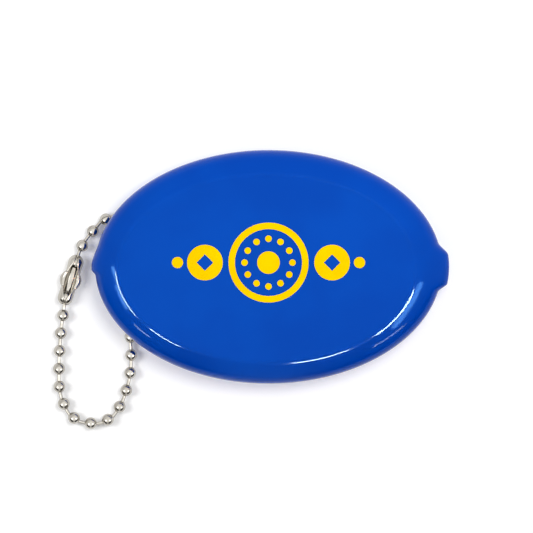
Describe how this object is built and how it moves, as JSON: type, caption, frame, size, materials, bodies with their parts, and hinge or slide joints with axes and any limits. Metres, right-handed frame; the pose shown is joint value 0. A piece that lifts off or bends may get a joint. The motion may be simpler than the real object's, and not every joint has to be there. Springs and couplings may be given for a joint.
{
  "type": "squeeze coin purse",
  "caption": "Oval moulded vinyl coin purse with a slit back whose lips part when squeezed, on a looped ball chain closed by a pressed connector.",
  "frame": {"origin": "middle of the slit, on the plane of the back that the purse lies on", "axes": "+Z out of the front face, +X along the purse towards the end nub, the chain at the -X end"},
  "size_m": [0.0914, 0.065, 0.0118],
  "materials": {
    "vinyl": "gloss",
    "nickel": "polished"
  },
  "bodies": {
    "purse": {"purse_shell": "vinyl"},
    "upper_lip": {"upper_lip": "vinyl"},
    "lower_lip": {"lower_lip": "vinyl"},
    "chain_top": {"link_01": "nickel", "link_02": "nickel", "link_03": "nickel", "link_04": "nickel", "link_05": "nickel", "link_06": "nickel", "link_07": "nickel", "link_08": "nickel", "link_09": "nickel", "link_10": "nickel", "link_11": "nickel", "link_24": "nickel", "link_25": "nickel"},
    "chain_section_1": {"link_12": "nickel", "link_23": "nickel"},
    "chain_section_2": {"link_13": "nickel", "link_22": "nickel"},
    "chain_section_3": {"link_14": "nickel", "link_21": "nickel"},
    "chain_section_4": {"link_15": "nickel", "link_20": "nickel"},
    "chain_section_5": {"link_16": "nickel", "link_17": "nickel", "link_18": "nickel", "link_19": "nickel"},
    "clasp": {"clasp": "nickel"},
    "ball_01": {"bead_01": "nickel"},
    "ball_02": {"bead_02": "nickel"},
    "ball_03": {"bead_03": "nickel"},
    "ball_04": {"bead_04": "nickel"},
    "ball_05": {"bead_05": "nickel"},
    "ball_06": {"bead_06": "nickel"},
    "ball_07": {"bead_07": "nickel"},
    "ball_08": {"bead_08": "nickel"},
    "ball_09": {"bead_09": "nickel"},
    "ball_10": {"bead_10": "nickel"},
    "ball_11": {"bead_11": "nickel"},
    "ball_12": {"bead_12": "nickel"},
    "ball_13": {"bead_13": "nickel"},
    "ball_14": {"bead_14": "nickel"},
    "ball_15": {"bead_15": "nickel"},
    "ball_16": {"bead_16": "nickel"},
    "ball_17": {"bead_17": "nickel"},
    "ball_18": {"bead_18": "nickel"},
    "ball_19": {"bead_19": "nickel"},
    "ball_20": {"bead_20": "nickel"},
    "ball_21": {"bead_21": "nickel"},
    "ball_22": {"bead_22": "nickel"},
    "ball_23": {"bead_23": "nickel"},
    "ball_24": {"bead_24": "nickel"},
    "ball_25": {"bead_25": "nickel"},
    "ball_26": {"bead_26": "nickel"}
  },
  "joints": [
    {"name": "back_lips_open", "type": "hinge", "parent": "purse", "child": "upper_lip", "pos_m": [0, 0.014, 0], "axis": [1, 0, 0], "range_deg": [0, 60], "stiffness_Nm_per_rad": 0.02},
    {"name": "lower_lip_opens", "type": "hinge", "parent": "purse", "child": "lower_lip", "pos_m": [0, -0.014, 0], "axis": [-1, 0, 0], "range_deg": [0, 60], "stiffness_Nm_per_rad": 0.02},
    {"name": "chain_fold_1", "type": "hinge", "parent": "chain_top", "child": "chain_section_1", "pos_m": [-0.04001, -0.01738, 0.00138], "axis": [-0.9983, 0.0589, -0.0013], "range_deg": [-15, 15]},
    {"name": "chain_fold_2", "type": "hinge", "parent": "chain_section_1", "child": "chain_section_2", "pos_m": [-0.04005, -0.02152, 0.0014], "axis": [-0.9983, 0.0576, 0.0003], "range_deg": [-15, 15]},
    {"name": "chain_fold_3", "type": "hinge", "parent": "chain_section_2", "child": "chain_section_3", "pos_m": [-0.04031, -0.02566, 0.0014], "axis": [-0.9984, 0.0573, -0.0001], "range_deg": [-15, 15]},
    {"name": "chain_fold_4", "type": "hinge", "parent": "chain_section_3", "child": "chain_section_4", "pos_m": [-0.04076, -0.02972, 0.0014], "axis": [-0.9986, 0.0531, 0], "range_deg": [-15, 15]},
    {"name": "chain_fold_5", "type": "hinge", "parent": "chain_section_4", "child": "chain_section_5", "pos_m": [-0.04098, -0.03353, 0.0014], "axis": [-0.9987, 0.0518, 0], "range_deg": [-15, 15]},
    {"name": "chain_swing", "type": "hinge", "parent": "purse", "child": "chain_top", "pos_m": [-0.0314, 0, 0.0029], "axis": [0, 0, 1], "range_deg": [-12, 12]},
    {"name": "clasp_swivel", "type": "hinge", "parent": "chain_top", "child": "clasp", "pos_m": [-0.04571, -0.00333, 0.0018], "axis": [0.2853, 0.9584, 0], "range_deg": [-30, 30]},
    {"name": "spin_bead_01", "type": "hinge", "parent": "chain_top", "child": "ball_01", "pos_m": [-0.04449, 0.00075, 0.0018], "axis": [0.3045, 0.9511, -0.0526], "continuous": true},
    {"name": "spin_bead_02", "type": "hinge", "parent": "chain_top", "child": "ball_02", "pos_m": [-0.04301, 0.00462, 0.00158], "axis": [0.4744, 0.8787, -0.0535], "continuous": true},
    {"name": "spin_bead_03", "type": "hinge", "parent": "chain_top", "child": "ball_03", "pos_m": [-0.04058, 0.00796, 0.0014], "axis": [0.6409, 0.7673, -0.0215], "continuous": true},
    {"name": "spin_bead_04", "type": "hinge", "parent": "chain_top", "child": "ball_04", "pos_m": [-0.03756, 0.01068, 0.0014], "axis": [0.9093, 0.4161, 0.0092], "continuous": true},
    {"name": "spin_bead_05", "type": "hinge", "parent": "chain_top", "child": "ball_05", "pos_m": [-0.03359, 0.01075, 0.0014], "axis": [0.9327, -0.3601, -0.0181], "continuous": true},
    {"name": "spin_bead_06", "type": "hinge", "parent": "chain_top", "child": "ball_06", "pos_m": [-0.03068, 0.00804, 0.0014], "axis": [0.4046, -0.9118, 0.0697], "continuous": true},
    {"name": "spin_bead_07", "type": "hinge", "parent": "chain_top", "child": "ball_07", "pos_m": [-0.0304, 0.004, 0.00208], "axis": [-0.1763, -0.9548, 0.2394], "continuous": true},
    {"name": "spin_bead_08", "type": "hinge", "parent": "chain_top", "child": "ball_08", "pos_m": [-0.0314, 0, 0.0029], "axis": [-0.1482, -0.989, 0.0004], "continuous": true},
    {"name": "spin_bead_09", "type": "hinge", "parent": "chain_top", "child": "ball_09", "pos_m": [-0.03147, -0.00414, 0.00208], "axis": [0.0035, -0.9712, -0.2382], "continuous": true},
    {"name": "spin_bead_10", "type": "hinge", "parent": "chain_top", "child": "ball_10", "pos_m": [-0.03162, -0.00829, 0.0014], "axis": [-0.0412, -0.997, -0.0663], "continuous": true},
    {"name": "spin_bead_11", "type": "hinge", "parent": "chain_top", "child": "ball_11", "pos_m": [-0.03176, -0.01244, 0.0014], "axis": [-0.0425, -0.999, 0.0155], "continuous": true},
    {"name": "spin_bead_12", "type": "hinge", "parent": "chain_top", "child": "ball_12", "pos_m": [-0.03191, -0.01658, 0.0014], "axis": [0.0056, -1, -0.0036], "continuous": true},
    {"name": "spin_bead_24", "type": "hinge", "parent": "chain_top", "child": "ball_24", "pos_m": [-0.048, -0.01563, 0.0014], "axis": [0.0975, 0.995, 0.0205], "continuous": true},
    {"name": "spin_bead_25", "type": "hinge", "parent": "chain_top", "child": "ball_25", "pos_m": [-0.0475, -0.01151, 0.00158], "axis": [0.1354, 0.9894, 0.0532], "continuous": true},
    {"name": "spin_bead_26", "type": "hinge", "parent": "chain_top", "child": "ball_26", "pos_m": [-0.04692, -0.0074, 0.0018], "axis": [0.1406, 0.9887, 0.0528], "continuous": true},
    {"name": "spin_bead_13", "type": "hinge", "parent": "chain_section_1", "child": "ball_13", "pos_m": [-0.03176, -0.02073, 0.0014], "axis": [0.0171, -0.9999, 0.0008], "continuous": true},
    {"name": "spin_bead_23", "type": "hinge", "parent": "chain_section_1", "child": "ball_23", "pos_m": [-0.04829, -0.01977, 0.0014], "axis": [0.0483, 0.9988, -0.0048], "continuous": true},
    {"name": "spin_bead_14", "type": "hinge", "parent": "chain_section_2", "child": "ball_14", "pos_m": [-0.03198, -0.02487, 0.0014], "axis": [-0.1391, -0.9903, -0.0002], "continuous": true},
    {"name": "spin_bead_22", "type": "hinge", "parent": "chain_section_2", "child": "ball_22", "pos_m": [-0.04844, -0.02392, 0.0014], "axis": [0.0254, 0.9997, 0.0011], "continuous": true},
    {"name": "spin_bead_15", "type": "hinge", "parent": "chain_section_3", "child": "ball_15", "pos_m": [-0.03291, -0.0289, 0.0014], "axis": [-0.2923, -0.9563, 0], "continuous": true},
    {"name": "spin_bead_21", "type": "hinge", "parent": "chain_section_3", "child": "ball_21", "pos_m": [-0.04837, -0.02806, 0.0014], "axis": [-0.1058, 0.9944, -0.0003], "continuous": true},
    {"name": "spin_bead_16", "type": "hinge", "parent": "chain_section_4", "child": "ball_16", "pos_m": [-0.03446, -0.03273, 0.0014], "axis": [-0.489, -0.8723, 0], "continuous": true},
    {"name": "spin_bead_20", "type": "hinge", "parent": "chain_section_4", "child": "ball_20", "pos_m": [-0.04737, -0.03205, 0.0014], "axis": [-0.3891, 0.9212, 0.0001], "continuous": true},
    {"name": "spin_bead_17", "type": "hinge", "parent": "chain_section_5", "child": "ball_17", "pos_m": [-0.03718, -0.03575, 0.0014], "axis": [-0.8616, -0.5075, 0], "continuous": true},
    {"name": "spin_bead_18", "type": "hinge", "parent": "chain_section_5", "child": "ball_18", "pos_m": [-0.04113, -0.03659, 0.0014], "axis": [-0.9986, 0.0527, 0], "continuous": true},
    {"name": "spin_bead_19", "type": "hinge", "parent": "chain_section_5", "child": "ball_19", "pos_m": [-0.04498, -0.03534, 0.0014], "axis": [-0.8048, 0.5936, 0], "continuous": true}
  ],
  "couplings": [
    {"joint": "lower_lip_opens", "follows": "back_lips_open", "ratio": 1}
  ]
}
